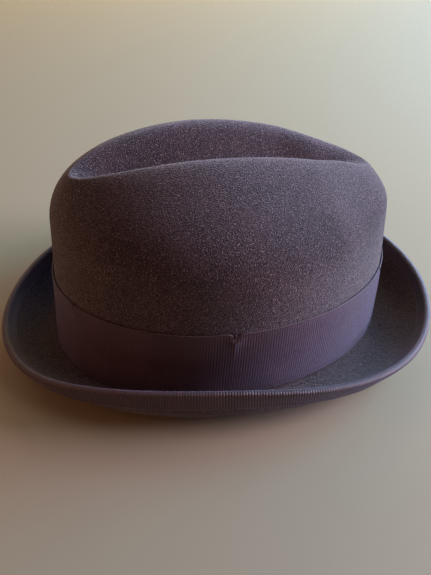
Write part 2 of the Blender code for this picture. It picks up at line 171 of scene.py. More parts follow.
def brimSections(t):  # distance out and height at each step from the break to the cut edge
    b = hatBlock
    c = [np.cos(k * t) for k in range(5)]
    edge = np.radians(sum(a * k for a, k in zip(b["edgeSlope"], c)))
    width = b["brimWidth"] + b["brimFrontAdds"] * c[1] + b["brimEndsAdd"] * c[2]
    start = np.radians(b["breakSlope"])
    out, up = [0 * t], [0 * t]
    for i in range(brimSteps):
        share = max(((i + 0.5) / brimSteps - b["flatShare"]) / (1 - b["flatShare"]), 0)
        slope = lerp(start, edge, share)
        out.append(out[-1] + np.cos(slope) * width / brimSteps)
        up.append(up[-1] + np.sin(slope) * width / brimSteps)
    ripple = 0.35 * np.sin(5 * t + 0.8) + 0.25 * np.sin(9 * t - 1.1)  # felt is never quite even
    up = [u + ripple * (i / brimSteps) ** 2 for i, u in enumerate(up)]
    base, side = wallPoint(t, b["breakHeight"]), outward(t)
    rows = [base + side * o[:, None] + np.stack([0 * t, 0 * t, u], -1) for o, u in zip(out, up)]
    return np.array(rows), width


def gridNormals(grid, closed, seam=False):  # of a sheet whose rows run round and whose columns run across
    if closed:
        run = np.roll(grid, -1, axis=1) - np.roll(grid, 1, axis=1)
    else:
        run = np.gradient(grid, axis=1)
    normal = np.cross(run, np.gradient(grid, axis=0))
    if seam:  # the last row is the line where the two sides meet
        across = grid[-2][(-np.arange(grid.shape[1])) % grid.shape[1]] - grid[-2]
        turned = np.cross(run[-1], across)
        ends = np.linalg.norm(run[-1], axis=-1) < 1e-6
        turned[ends] = (0, 0, 1)
        normal[-1] = turned * np.sign(turned[:, 2:] + 1e-9)
        normal[-1][:, 1] = 0
    return unit(normal)


def evenTurns(path, count, start=0.0):  # angles that part a closed line evenly
    t = start + np.linspace(0, 2 * np.pi, 4001)
    length = np.cumsum(np.linalg.norm(np.diff(path(t), axis=0), axis=1))
    length = np.concatenate([[0], length])
    return np.interp(np.arange(count) / count * length[-1], length, t), length[-1]


# Meshes.

ribbonCut = {"pitch": 1.45, "ribHeight": 0.15, "samples": 6, "thickness": 0.6, "standOff": 0.3}
bandCut = {"bottom": 2.8, "top": 48.4, "notchDepth": 1.5, "notchWidth": 1.7, "flare": 0.3, "puff": 0.9}
boxLow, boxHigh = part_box("hat_band")  # the band's lower front edge says where the pattern lies in the frame
bandFront = wallPoint(0, bandCut["bottom"])[0] + ribbonCut["standOff"] + ribbonCut["thickness"]
patternOrigin = np.array([bandFront - boxHigh.x / metres, 0, bandCut["bottom"] - boxLow.z / metres])


def placed(points):
    return (np.asarray(points) - patternOrigin) * metres


def makePiece(name, points, faces, facts=None, clothUv=None):
    points, faces = np.asarray(points, float), np.asarray(faces)
    corners = points[faces]
    volume = (np.cross(corners[:, 0], corners[:, 1]) * corners[:, 2]).sum()
    volume += (np.cross(corners[:, 0], corners[:, 2]) * corners[:, -1]).sum()
    order = slice(None) if volume > 0 else slice(None, None, -1)  # faces point outwards
    mesh = bpy.data.meshes.new(name)
    mesh.from_pydata(placed(points).tolist(), [], [row[order] for row in faces.tolist()])
    for label, values in (facts or {}).items():
        mesh.attributes.new(label, "FLOAT", "POINT").data.foreach_set("value", np.asarray(values, float).ravel())
    if clothUv is not None:
        uv = clothUv[:, order] * metres
        mesh.uv_layers.new(name="cloth").data.foreach_set("uv", uv.reshape(-1))
    mesh.shade_smooth()
    piece = bpy.data.objects.new(name, mesh)
    bpy.context.scene.collection.objects.link(piece)
    return piece


def capEnds(piece):  # closes the cut ends of a strip or tube
    bm = bmesh.new()
    bm.from_mesh(piece.data)
    bmesh.ops.holes_fill(bm, edges=[edge for edge in bm.edges if edge.is_boundary], sides=0)
    bm.to_mesh(piece.data)
    bm.free()
    piece.data.shade_smooth()
    piece.data.set_sharp_from_angle(angle=np.radians(50))
    return piece


def loftPiece(name, sections, run, closed, facts, across):
    count, around = sections.shape[:2]
    last = count if closed else count - 1
    j, i = np.meshgrid(np.arange(last), np.arange(around), indexing="ij")
    far, beside = (j + 1) % count, (i + 1) % around
    faces = np.stack([j * around + i, j * around + beside, far * around + beside, far * around + i], -1)
    wrap = np.concatenate([run, [run[0] * 0 + run[-1] + (run[1] - run[0])]]) if closed else run
    acrossOn = np.concatenate([across, [across[-1] + 1.0]])
    u = [wrap[j, i], wrap[j, beside], wrap[j + 1, beside], wrap[j + 1, i]]
    v = [acrossOn[i], acrossOn[i + 1], acrossOn[i + 1], acrossOn[i]]
    uv = np.stack([np.stack(u, -1), np.stack(v, -1)], -1).reshape(-1, 4, 2)
    piece = makePiece(name, sections.reshape(-1, 3), faces.reshape(-1, 4), facts, uv)
    return piece if closed else capEnds(piece)


def stripPiece(name, middle, thickness, run, across, closed, edgeShare=0.6):
    # A strip from its middle sheet: middle[k][c] is a point k along it and c across it.
    middle = np.asarray(middle, float)
    normal = gridNormals(middle.transpose(1, 0, 2), closed).transpose(1, 0, 2)
    half = np.full(middle.shape[1], thickness / 2)
    half[[0, -1]] *= edgeShare
    rim = unit(np.gradient(middle, axis=1)) * thickness * 0.25
    sections = np.concatenate([
        middle + normal * half[:, None], (middle[:, -1] + rim[:, -1])[:, None],
        (middle - normal * half[:, None])[:, ::-1], (middle[:, 0] - rim[:, 0])[:, None]], axis=1)
    run = np.broadcast_to(np.asarray(run, float).reshape(len(middle), -1), middle.shape[:2])
    runAround = np.concatenate([run, run[:, -1:], run[:, ::-1], run[:, :1]], axis=1)
    across = np.asarray(across, float)
    acrossAround = np.concatenate([across, [across[-1] + 0.3], 2 * across[-1] - across[::-1] + 0.6,
                                   [2 * across[-1] - across[0] + 0.9]])
    # Lower ribs at the edges and rims; through ribTop this also paints those edges a little darker, as painted shade.
    share = np.ones(middle.shape[1])
    share[[0, -1]] = 0.8
    ribShare = np.tile(np.concatenate([share, [0.6], share, [0.6]]), len(middle))
    facts = {"run": runAround.ravel(), "ribShare": ribShare}
    return loftPiece(name, sections, runAround, closed, facts, acrossAround)


def tubePiece(name, path, radius, sides, closed, twist=None):
    path = np.asarray(path, float)
    run = np.roll(path, -1, axis=0) - np.roll(path, 1, axis=0) if closed else np.gradient(path, axis=0)
    run = unit(run)
    guide = np.array([0, 0, 1.0]) if twist is None else np.asarray(twist, float)
    first = unit(np.cross(run, guide))
    second = np.cross(run, first)
    turn = np.arange(sides) * 2 * np.pi / sides
    ring = np.cos(turn)[None, :, None] * first[:, None] + np.sin(turn)[None, :, None] * second[:, None]
    width = np.broadcast_to(np.asarray(radius, float), (len(path),))[:, None, None]
    length = np.concatenate([[0], np.cumsum(np.linalg.norm(np.diff(path, axis=0), axis=1))])
    runs = np.repeat(length[:, None], sides, axis=1)
    sections = path[:, None] + ring * width
    around = np.arange(sides) * 2 * np.pi / sides * float(np.max(radius))
    return loftPiece(name, sections, runs, closed, {"run": runs.ravel()}, around)


def capPiece(name, outside, inside, facts=None):
    # A shell of two sheets that meet at their first rows, each folded shut along its last row.
    rows, count = outside.shape[:2]
    points = np.concatenate([outside.reshape(-1, 3), inside.reshape(-1, 3)])
    index = np.arange(rows * count).reshape(rows, count)
    index[-1] = index[-1][np.minimum(np.arange(count), (count - np.arange(count)) % count)]
    faces = []
    for first in (index, index + rows * count):
        far = np.roll(first, -1, axis=1)
        quads = np.stack([first[:-1], far[:-1], far[1:], first[1:]], -1).reshape(-1, 4)
        faces.append(quads if first is index else quads[:, ::-1])
    edge = index[0]
    beyond = np.roll(edge, -1)
    offset = rows * count
    faces.append(np.stack([beyond, edge, edge + offset, beyond + offset], -1))
    faces = np.concatenate(faces)
    used, faces = np.unique(faces, return_inverse=True)
    faces = faces.reshape(-1, 4)
    kept = {label: np.asarray(values).ravel()[used] for label, values in (facts or {}).items()}
    return makePiece(name, points[used], faces, kept)


# Node trees.

def addNode(tree, kind, inputs=None, **settings):  # one node with its settings, values and links
    node = tree.nodes.new(kind)
    for label, value in settings.items():
        setattr(node, label, value)
    for label, value in (inputs or {}).items():
        if isinstance(value, bpy.types.NodeSocket):
            tree.links.new(value, node.inputs[label])
        else:
            node.inputs[label].default_value = value
    return node


def newTree(name, inputs):
    tree = bpy.data.node_groups.new(name, "GeometryNodeTree")
    tree.interface.new_socket("Geometry", in_out="OUTPUT", socket_type="NodeSocketGeometry")
    tree.interface.new_socket("Geometry", in_out="INPUT", socket_type="NodeSocketGeometry")
    for label, kind, value in inputs:
        socket = tree.interface.new_socket(label, in_out="INPUT", socket_type="NodeSocket" + kind)
        if value is not None:
            socket.default_value = value
    return tree, tree.nodes.new("NodeGroupInput").outputs, tree.nodes.new("NodeGroupOutput").inputs


def finishTree(tree, given, made, geometry):
    real = addNode(tree, "GeometryNodeRealizeInstances", {"Geometry": geometry})
    smooth = addNode(tree, "GeometryNodeSetShadeSmooth", {"Geometry": real.outputs[0]})
    painted = addNode(tree, "GeometryNodeSetMaterial", {"Geometry": smooth.outputs[0],
                                                        "Material": given["Material"]})
    tree.links.new(painted.outputs[0], made["Geometry"])
    return tree


def makeRibTree():  # raises rounded ribs across a ribbon, from the distance along it
    tree, given, made = newTree("ribbonRibs", [("Pitch", "Float", 1.45), ("Height", "Float", 0.0002),
                                               ("Roundness", "Float", 0.7), ("Material", "Material", None)])
    run = addNode(tree, "GeometryNodeInputNamedAttribute", {"Name": "run"}, data_type="FLOAT")
    share = addNode(tree, "GeometryNodeInputNamedAttribute", {"Name": "ribShare"}, data_type="FLOAT")
    turns = addNode(tree, "ShaderNodeMath", {0: run.outputs[0], 1: given["Pitch"]}, operation="DIVIDE")
    angle = addNode(tree, "ShaderNodeMath", {0: turns.outputs[0], 1: np.pi}, operation="MULTIPLY")
    wave = addNode(tree, "ShaderNodeMath", {0: angle.outputs[0]}, operation="COSINE")
    bump = addNode(tree, "ShaderNodeMath", {0: wave.outputs[0]}, operation="ABSOLUTE")
    rounded = addNode(tree, "ShaderNodeMath", {0: bump.outputs[0], 1: given["Roundness"]}, operation="POWER")
    tall = addNode(tree, "ShaderNodeMath", {0: rounded.outputs[0], 1: given["Height"]}, operation="MULTIPLY")
    here = addNode(tree, "ShaderNodeMath", {0: tall.outputs[0], 1: share.outputs[0]}, operation="MULTIPLY")
    normal = addNode(tree, "GeometryNodeInputNormal")
    lift = addNode(tree, "ShaderNodeVectorMath", {0: normal.outputs[0], "Scale": here.outputs[0]},
                   operation="SCALE")
    # ribTop is how high each point stands on its rib; the ribbon shaders use it to paint shade in the grooves.
    ribTopForShade = addNode(tree, "ShaderNodeMath", {0: rounded.outputs[0], 1: share.outputs[0]}, operation="MULTIPLY")
    noted = addNode(tree, "GeometryNodeStoreNamedAttribute", {"Geometry": given["Geometry"], "Name": "ribTop",
                                                              "Value": ribTopForShade.outputs[0]},
                    data_type="FLOAT", domain="POINT")
    moved = addNode(tree, "GeometryNodeSetPosition", {"Geometry": noted.outputs[0],
                                                      "Offset": lift.outputs[0]})
    return finishTree(tree, given, made, moved.outputs[0])


def makeStitchTree():  # lays stitches of thread along a sewing line
    tree, given, made = newTree("sewnStitches", [
        ("Pitch", "Float", 0.003), ("Length", "Float", 0.002), ("Thread", "Float", 0.0002),
        ("Slant", "Float", 0.0), ("Material", "Material", None)])
    line = addNode(tree, "GeometryNodeMeshToCurve", {"Mesh": given["Geometry"]})
    spaced = addNode(tree, "GeometryNodeResampleCurve", {"Curve": line.outputs[0], "Length": given["Pitch"]},
                     mode="LENGTH")
    along = addNode(tree, "GeometryNodeInputTangent")
    face = addNode(tree, "GeometryNodeInputNamedAttribute", {"Name": "face"}, data_type="FLOAT_VECTOR")
    frameOf = addNode(tree, "FunctionNodeAxesToRotation", {0: along.outputs[0], 1: face.outputs[0]},
                      primary_axis="X", secondary_axis="Z")
    slanted = addNode(tree, "FunctionNodeRotateRotation", rotation_space="LOCAL")
    tree.links.new(frameOf.outputs[0], slanted.inputs[0])
    slant = addNode(tree, "ShaderNodeCombineXYZ", {"Z": given["Slant"]})
    tree.links.new(slant.outputs[0], slanted.inputs[1])
    half = addNode(tree, "ShaderNodeMath", {0: given["Length"], 1: 0.5}, operation="MULTIPLY")
    size = addNode(tree, "ShaderNodeCombineXYZ", {"X": half.outputs[0], "Y": given["Thread"],
                                                  "Z": given["Thread"]})
    grain = addNode(tree, "GeometryNodeMeshUVSphere", {"Segments": 6, "Rings": 5, "Radius": 1.0})
    laid = addNode(tree, "GeometryNodeInstanceOnPoints", {
        "Points": spaced.outputs[0], "Instance": grain.outputs[0], "Rotation": slanted.outputs[0],
        "Scale": size.outputs[0]})
    return finishTree(tree, given, made, laid.outputs[0])


def makeNapTree():  # short loose hairs that stand a little off the felt
    tree, given, made = newTree("looseNap", [
        ("Density", "Float", 60000.0), ("Hair Length", "Float", 0.0016), ("Hair Width", "Float", 0.00004),
        ("Lift", "Float", 0.5), ("Seed", "Int", 7), ("Material", "Material", None)])
    share = addNode(tree, "GeometryNodeInputNamedAttribute", {"Name": "napShare"}, data_type="FLOAT")
    density = addNode(tree, "ShaderNodeMath", {0: share.outputs[0], 1: given["Density"]}, operation="MULTIPLY")
    roots = addNode(tree, "GeometryNodeDistributePointsOnFaces", {
        "Mesh": given["Geometry"], "Density": density.outputs[0], "Seed": given["Seed"]})
    spin = addNode(tree, "FunctionNodeRandomValue", {"Seed": given["Seed"]}, data_type="FLOAT")
    spin.inputs[3].default_value = 2 * np.pi
    size = addNode(tree, "FunctionNodeRandomValue", {"Seed": given["Seed"], "ID": 1}, data_type="FLOAT")
    size.inputs[2].default_value = 0.5
    size.inputs[3].default_value = 1.4
    turn = addNode(tree, "ShaderNodeCombineXYZ", {"Z": spin.outputs[1]})
    placedHair = addNode(tree, "FunctionNodeRotateRotation", rotation_space="LOCAL")
    tree.links.new(roots.outputs["Rotation"], placedHair.inputs[0])
    tree.links.new(turn.outputs[0], placedHair.inputs[1])
    rise = addNode(tree, "ShaderNodeMath", {0: given["Hair Length"], 1: given["Lift"]}, operation="MULTIPLY")
    middleX = addNode(tree, "ShaderNodeMath", {0: given["Hair Length"], 1: 0.5}, operation="MULTIPLY")
    middle = addNode(tree, "ShaderNodeCombineXYZ", {"X": middleX.outputs[0], "Z": rise.outputs[0]})
    tip = addNode(tree, "ShaderNodeCombineXYZ", {"X": given["Hair Length"], "Y": middleX.outputs[0],
                                                 "Z": middleX.outputs[0]})
    hair = addNode(tree, "GeometryNodeCurveQuadraticBezier", {"Resolution": 3, "Start": (0, 0, 0),
                                                              "Middle": middle.outputs[0],
                                                              "End": tip.outputs[0]})
    profile = addNode(tree, "GeometryNodeCurvePrimitiveCircle", {"Resolution": 3, "Radius": given["Hair Width"]})
    solid = addNode(tree, "GeometryNodeCurveToMesh", {"Curve": hair.outputs[0],
                                                      "Profile Curve": profile.outputs[0],
                                                      "Fill Caps": True})
    grown = addNode(tree, "GeometryNodeInstanceOnPoints", {
        "Points": roots.outputs["Points"], "Instance": solid.outputs[0],
        "Rotation": placedHair.outputs[0], "Scale": size.outputs[1]})
    return finishTree(tree, given, made, grown.outputs[0])


def applyTree(piece, tree, **values):  # runs a tree on a piece and keeps the plain mesh it makes
    modifier = piece.modifiers.new(tree.name, "NODES")
    modifier.node_group = tree
    sockets = {item.name.replace(" ", ""): item.identifier for item in tree.interface.items_tree
               if item.in_out == "INPUT"}
    for label, value in values.items():
        modifier[sockets[label]] = value
    evaluated = piece.evaluated_get(bpy.context.evaluated_depsgraph_get())
    mesh = bpy.data.meshes.new_from_object(evaluated)
    piece.modifiers.remove(modifier)
    piece.data = mesh
    return piece


def rideHat(piece, slot, *nodes):
    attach(piece, "root")
    if nodes:
        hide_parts(*nodes)
    return piece


ribTree, stitchTree, napTree = makeRibTree(), makeStitchTree(), makeNapTree()
print("pattern and node trees ready")


# Materials.

def hexColour(code):  # sRGB hex to linear
    values = np.array([int(code[i:i + 2], 16) / 255 for i in (1, 3, 5)])
    linear = np.where(values <= 0.04045, values / 12.92, ((values + 0.055) / 1.055) ** 2.4)
    return (*linear.tolist(), 1.0)


def newMaterial(name, **values):
    material = bpy.data.materials.new(name)
    material.use_nodes = True
    tree = material.node_tree
    shader = tree.nodes["Principled BSDF"]
    for label, value in values.items():
        shader.inputs[label.replace("_", " ")].default_value = value
    return material, tree, shader


feltLook = {
    "dark": "#180d0d", "light": "#493233", "fleck": "#9a8684",
    "napSize": 0.6, "fleckSize": 0.7, "mottleSize": 22.0,  # mm
    "roughness": 0.9, "sheen": 0.45, "napDepth": 0.46,
}


def makeFelt():
    # Fur felt, blocked and lightly brushed: no gloss, a dusty bloom at low angles and a fine salt of hair ends.
    look = feltLook
    material, tree, shader = newMaterial("brushedFurFelt", Sheen_Roughness=0.5,
                                         Sheen_Tint=hexColour("#ded8dc"), Specular_IOR_Level=0.2)
    place = addNode(tree, "ShaderNodeTexCoord").outputs["Object"]
    mottle = addNode(tree, "ShaderNodeTexNoise", {"Vector": place, "Scale": 1 / (look["mottleSize"] * metres),
                                                  "Detail": 3.0, "Roughness": 0.6})
    nap = addNode(tree, "ShaderNodeTexNoise", {"Vector": place, "Scale": 1 / (look["napSize"] * metres),
                                               "Detail": 1.0, "Roughness": 0.5})
    fleck = addNode(tree, "ShaderNodeTexNoise", {"Vector": place, "Scale": 1 / (look["fleckSize"] * metres),
                                                 "Detail": 0.0})
    napShare = addNode(tree, "ShaderNodeMapRange", {"Value": nap.outputs[0], "From Min": 0.3, "From Max": 0.7})
    mottleShare = addNode(tree, "ShaderNodeMapRange", {"Value": mottle.outputs[0], "From Min": 0.3,
                                                       "From Max": 0.7, "To Min": -0.18, "To Max": 0.18})
    both = addNode(tree, "ShaderNodeMath", {0: napShare.outputs[0], 1: mottleShare.outputs[0]},
                   operation="ADD", use_clamp=True)
    ground = addNode(tree, "ShaderNodeMix", {0: both.outputs[0], 6: hexColour(look["dark"]),
                                             7: hexColour(look["light"])}, data_type="RGBA")
    fleckShare = addNode(tree, "ShaderNodeMapRange", {"Value": fleck.outputs[0], "From Min": 0.62,
                                                      "From Max": 0.80, "To Max": 0.45})
    colour = addNode(tree, "ShaderNodeMix", {0: fleckShare.outputs[0], 6: ground.outputs[2],
                                             7: hexColour(look["fleck"])}, data_type="RGBA")
    height = addNode(tree, "ShaderNodeMath", {0: napShare.outputs[0], 1: fleckShare.outputs[0]},
                     operation="ADD")
    bump = addNode(tree, "ShaderNodeBump", {"Height": height.outputs[0], "Strength": 0.8,
                                            "Distance": look["napDepth"] * metres})
    rough = addNode(tree, "ShaderNodeMapRange", {"Value": nap.outputs[0], "To Min": look["roughness"] - 0.1,
                                                 "To Max": 1.0})
    bloom = addNode(tree, "ShaderNodeMapRange", {"Value": height.outputs[0], "To Min": look["sheen"] * 0.3,
                                                 "To Max": look["sheen"] * 1.7})
    tree.links.new(colour.outputs[2], shader.inputs["Base Color"])
    tree.links.new(rough.outputs[0], shader.inputs["Roughness"])
    tree.links.new(bloom.outputs[0], shader.inputs["Sheen Weight"])
    tree.links.new(bump.outputs[0], shader.inputs["Normal"])
    return material


def makeCloth(name, dark, light, threadAlong, threadAcross, depth, roughness, sheen, specular, speck=0.8, groove=0.0):
    # A woven finish on the piece's own cloth map: threads both ways and soft uneven dye; where a groove share is given,
    # painted shade darkens the colour and sheen between its ribs, and a little along its edges and rims.
    material, tree, shader = newMaterial(name, Sheen_Roughness=0.4,
                                         Sheen_Tint=hexColour("#d4dcff"), Specular_IOR_Level=specular)
    cloth = addNode(tree, "ShaderNodeUVMap", uv_map="cloth").outputs[0]
    place = addNode(tree, "ShaderNodeTexCoord").outputs["Object"]
    parts = addNode(tree, "ShaderNodeSeparateXYZ", {0: cloth})
    waves = []
    for axis, pitch in ((0, threadAlong), (1, threadAcross)):
        angle = addNode(tree, "ShaderNodeMath", {0: parts.outputs[axis], 1: 2 * np.pi / (pitch * metres)},
                        operation="MULTIPLY")
        waves.append(addNode(tree, "ShaderNodeMath", {0: angle.outputs[0]}, operation="SINE"))
    weave = addNode(tree, "ShaderNodeMath", {0: waves[0].outputs[0], 1: waves[1].outputs[0]},
                    operation="MULTIPLY")
    dye = addNode(tree, "ShaderNodeTexNoise", {"Vector": place, "Scale": 1 / (14 * metres), "Detail": 4.0})
    lint = addNode(tree, "ShaderNodeTexNoise", {"Vector": place, "Scale": 1 / (speck * metres), "Detail": 2.0,
                                                "Roughness": 0.7})
    weaveShare = addNode(tree, "ShaderNodeMapRange", {"Value": weave.outputs[0], "From Min": -1.0,
                                                      "To Min": 0.2, "To Max": 0.8})
    dyeShare = addNode(tree, "ShaderNodeMapRange", {"Value": dye.outputs[0], "From Min": 0.3, "From Max": 0.7,
                                                    "To Min": -0.2, "To Max": 0.2})
    lintShare = addNode(tree, "ShaderNodeMapRange", {"Value": lint.outputs[0], "From Min": 0.3,
                                                     "From Max": 0.7, "To Min": -0.3, "To Max": 0.3})
    first = addNode(tree, "ShaderNodeMath", {0: weaveShare.outputs[0], 1: dyeShare.outputs[0]},
                    operation="ADD")
    second = addNode(tree, "ShaderNodeMath", {0: first.outputs[0], 1: lintShare.outputs[0]},
                     operation="ADD", use_clamp=True)
    colour = addNode(tree, "ShaderNodeMix", {0: second.outputs[0], 6: hexColour(dark), 7: hexColour(light)},
                     data_type="RGBA")
    bump = addNode(tree, "ShaderNodeBump", {"Height": weave.outputs[0], "Strength": 0.6,
                                            "Distance": depth * metres})
    rough = addNode(tree, "ShaderNodeMapRange", {"Value": lint.outputs[0], "To Min": roughness - 0.08,
                                                 "To Max": roughness + 0.08})
    bloom = addNode(tree, "ShaderNodeMapRange", {"Value": lint.outputs[0], "From Min": 0.3, "From Max": 0.7,
                                                 "To Min": sheen * 0.5, "To Max": sheen * 1.5})
    tree.links.new(rough.outputs[0], shader.inputs["Roughness"])
    tree.links.new(bump.outputs[0], shader.inputs["Normal"])
    if groove == 0:
        tree.links.new(colour.outputs[2], shader.inputs["Base Color"])
        tree.links.new(bloom.outputs[0], shader.inputs["Sheen Weight"])
        return material
    # Painted shade: colour and sheen are darkened in the grooves between the ribs, from how high each point stands on
    # its rib (ribTop).
    ribs = addNode(tree, "ShaderNodeAttribute", attribute_name="ribTop")
    kept = addNode(tree, "ShaderNodeMapRange", {"Value": ribs.outputs["Fac"], "To Min": 1 - groove})
    shaded = addNode(tree, "ShaderNodeVectorMath", {0: colour.outputs[2], "Scale": kept.outputs[0]},
                     operation="SCALE")
    grooveShadedSheen = addNode(tree, "ShaderNodeMath", {0: bloom.outputs[0], 1: kept.outputs[0]}, operation="MULTIPLY")
    tree.links.new(shaded.outputs[0], shader.inputs["Base Color"])
    tree.links.new(grooveShadedSheen.outputs[0], shader.inputs["Sheen Weight"])
    return material


def makeThread():
    # Mercerised cotton sewing thread: near the ribbon's own colour, smoother than it, with two twisted plies.
    material, tree, shader = newMaterial("mercerisedThread", Sheen_Weight=0.15, Sheen_Roughness=0.4,
                                         Roughness=0.5, Specular_IOR_Level=0.4)
    place = addNode(tree, "ShaderNodeTexCoord").outputs["Object"]
    plies = addNode(tree, "ShaderNodeTexNoise", {"Vector": place, "Scale": 1 / (0.35 * metres), "Detail": 1.0})
    plyShare = addNode(tree, "ShaderNodeMapRange", {"Value": plies.outputs[0], "From Min": 0.35,
                                                    "From Max": 0.65})
    colour = addNode(tree, "ShaderNodeMix", {0: plyShare.outputs[0], 6: hexColour("#3a272c"),
                                             7: hexColour("#5a424a")}, data_type="RGBA")
    tree.links.new(colour.outputs[2], shader.inputs["Base Color"])
    return material


def makeLeather():
    # Vegetable-tanned sheepskin: close pebbled grain, waxy half gloss, darker where the head has rubbed it.
    material, tree, shader = newMaterial("tannedSheepskin", Specular_IOR_Level=0.45)
    place = addNode(tree, "ShaderNodeTexCoord").outputs["Object"]
    grain = addNode(tree, "ShaderNodeTexVoronoi", {"Vector": place, "Scale": 1 / (1.1 * metres)},
                    feature="DISTANCE_TO_EDGE")
    tone = addNode(tree, "ShaderNodeTexNoise", {"Vector": place, "Scale": 1 / (16 * metres), "Detail": 5.0})
    pore = addNode(tree, "ShaderNodeMapRange", {"Value": grain.outputs[0], "From Max": 0.12})
    toneShare = addNode(tree, "ShaderNodeMapRange", {"Value": tone.outputs[0], "From Min": 0.3,
                                                     "From Max": 0.7})
    ground = addNode(tree, "ShaderNodeMix", {0: toneShare.outputs[0], 6: hexColour("#4a2c1c"),
                                             7: hexColour("#6d4429")}, data_type="RGBA")
    colour = addNode(tree, "ShaderNodeMix", {0: pore.outputs[0], 6: hexColour("#3a2216"),
                                             7: ground.outputs[2]}, data_type="RGBA")
    bump = addNode(tree, "ShaderNodeBump", {"Height": pore.outputs[0], "Strength": 0.5,
                                            "Distance": 0.12 * metres})
    rough = addNode(tree, "ShaderNodeMapRange", {"Value": tone.outputs[0], "To Min": 0.38, "To Max": 0.58})
    tree.links.new(colour.outputs[2], shader.inputs["Base Color"])
    tree.links.new(rough.outputs[0], shader.inputs["Roughness"])
    tree.links.new(bump.outputs[0], shader.inputs["Normal"])
    return material


def makeCard():
    # Uncoated card: chalky, with faint long fibres pressed in.
    material, tree, shader = newMaterial("uncoatedCard", Roughness=0.85, Specular_IOR_Level=0.25)
    place = addNode(tree, "ShaderNodeTexCoord").outputs["Object"]
    pulp = addNode(tree, "ShaderNodeTexNoise", {"Vector": place, "Scale": 1 / (1.5 * metres), "Detail": 6.0})
    share = addNode(tree, "ShaderNodeMapRange", {"Value": pulp.outputs[0], "From Min": 0.3, "From Max": 0.7})
    colour = addNode(tree, "ShaderNodeMix", {0: share.outputs[0], 6: hexColour("#c9bfa8"),
                                             7: hexColour("#ddd5c2")}, data_type="RGBA")
    bump = addNode(tree, "ShaderNodeBump", {"Height": pulp.outputs[0], "Strength": 0.3,
                                            "Distance": 0.08 * metres})
    tree.links.new(colour.outputs[2], shader.inputs["Base Color"])
    tree.links.new(bump.outputs[0], shader.inputs["Normal"])
    return material


felt = makeFelt()
# Rayon grosgrain: the ribs are in the mesh, and the map adds the warp that crosses them, coarser than the real 0.2 mm.
# The groove share paints shade between the ribs, deeper on the binding.
grosgrain = makeCloth("rayonGrosgrain", "#311819", "#573333", 0.48, 0.7, 0.10, 0.55, 0.65, 0.5, groove=0.45)
bindingCloth = makeCloth("rayonBinding", "#2c191a", "#5f3f40", 0.48, 0.7, 0.10, 0.46, 0.6, 0.6, groove=0.72)
# Spun polyester thread, dyed to match: round and slightly glossy.
thread = makeThread()
# Acetate satin: long floats of bright thread, so it is smooth and shines in broad soft bands.
satin = makeCloth("acetateSatin", "#8d7654", "#a58e69", 0.5, 1.6, 0.04, 0.34, 0.25, 0.5, speck=6.0)
# Cotton tape: flat dull twill.
cottonTape = makeCloth("cottonTwillTape", "#2c201e", "#453431", 0.9, 0.9, 0.12, 0.85, 0.1, 0.25)
leather = makeLeather()
card = makeCard()
print("materials ready")


# Felt body.

feltCut = {"columns": 288, "rowSpacing": 2.0, "breakRadius": 2.0, "dentSwell": 0.45}


def feltSheet(t):
    b = hatBlock
    rows, _ = brimSections(t)
    leg = feltCut["breakRadius"]
    inmost = 3  # steps of the brim's section that the bend at the break takes up
    brim = rows[inmost::2][::-1]
    corner, wall = rows[0], wallPoint(t, b["breakHeight"] + leg)
    bend = [rows[inmost] * (1 - s) ** 2 + 2 * corner * s * (1 - s) + wall * s ** 2 for s in (0.2, 0.4, 0.6, 0.8)]
    crown = softened(crownRows(t, b["breakHeight"] + leg), feltCut["rowSpacing"])
    swell = feltCut["dentSwell"] * ease((crown[..., 2] - 56) / 20)
    x, y, z = crown[..., 0], crown[..., 1], crown[..., 2]
    uneven = np.sin(x / 15 + 1.3) * np.sin(z / 11 + y / 19) + 0.6 * np.sin(x / 9 - z / 14 + y / 12 + 2)
    uneven = uneven * np.clip(1 - np.arange(len(crown)) / len(crown), 0, 1)[:, None]
    crown = crown + gridNormals(crown, True, True) * (swell * uneven)[..., None]
    crown[-1][:, 1] = 0
    return np.concatenate([brim, np.array(bend), crown])


def makeFeltBody():
    t = np.arange(feltCut["columns"]) * 2 * np.pi / feltCut["columns"]
    outside = feltSheet(t)
    normal = gridNormals(outside, True, True)
    inside = outside - normal * hatBlock["felt"]
    inside[..., 2] = np.maximum(inside[..., 2], patternOrigin[2])
    napShare = np.concatenate([np.ones(outside.shape[:2]).ravel(), np.zeros(inside.shape[:2]).ravel()])
    body = capPiece("feltBody", outside, inside, {"napShare": napShare})
    body.data.materials.append(felt)
    return rideHat(body, "felt", "felt_body")


feltBody = makeFeltBody()

napCut = {"density": 30000.0, "hairLength": 0.7, "hairWidth": 0.026, "lift": 0.4, "seed": 11}
nap = bpy.data.objects.new("feltNap", feltBody.data.copy())
bpy.context.scene.collection.objects.link(nap)
applyTree(nap, napTree, Density=napCut["density"], HairLength=napCut["hairLength"] * metres,
          HairWidth=napCut["hairWidth"] * metres, Lift=napCut["lift"], Seed=napCut["seed"], Material=felt)
rideHat(nap, "felt")
print("felt body", len(feltBody.data.polygons), "faces, nap", len(nap.data.polygons), "faces")


# Hat band and its tacks.

tackTurns = {"right": -104.0, "front_right": -38.0, "front_left": 38.0, "rear_left": 150.0, "rear_right": 198.0}


def fromTacks(t):  # distance round the band from each tack, with how hard that tack pulls
    for place, degrees in tackTurns.items():
        away = (t - np.radians(degrees) + np.pi) % (2 * np.pi) - np.pi
        yield away * hatBlock["halfWidth"], 1.0 if place == "right" else 0.35


def bandTop(t):
    top = bandCut["top"] + 0.12 * np.sin(7 * t) + 0.08 * np.sin(17 * t + 1)
    for away, pull in fromTacks(t):
        top = top - pull * bandCut["notchDepth"] * hump(away, bandCut["notchWidth"])
        top = top + pull * 0.35 * hump(away + 5.5, 3.0)
    return top


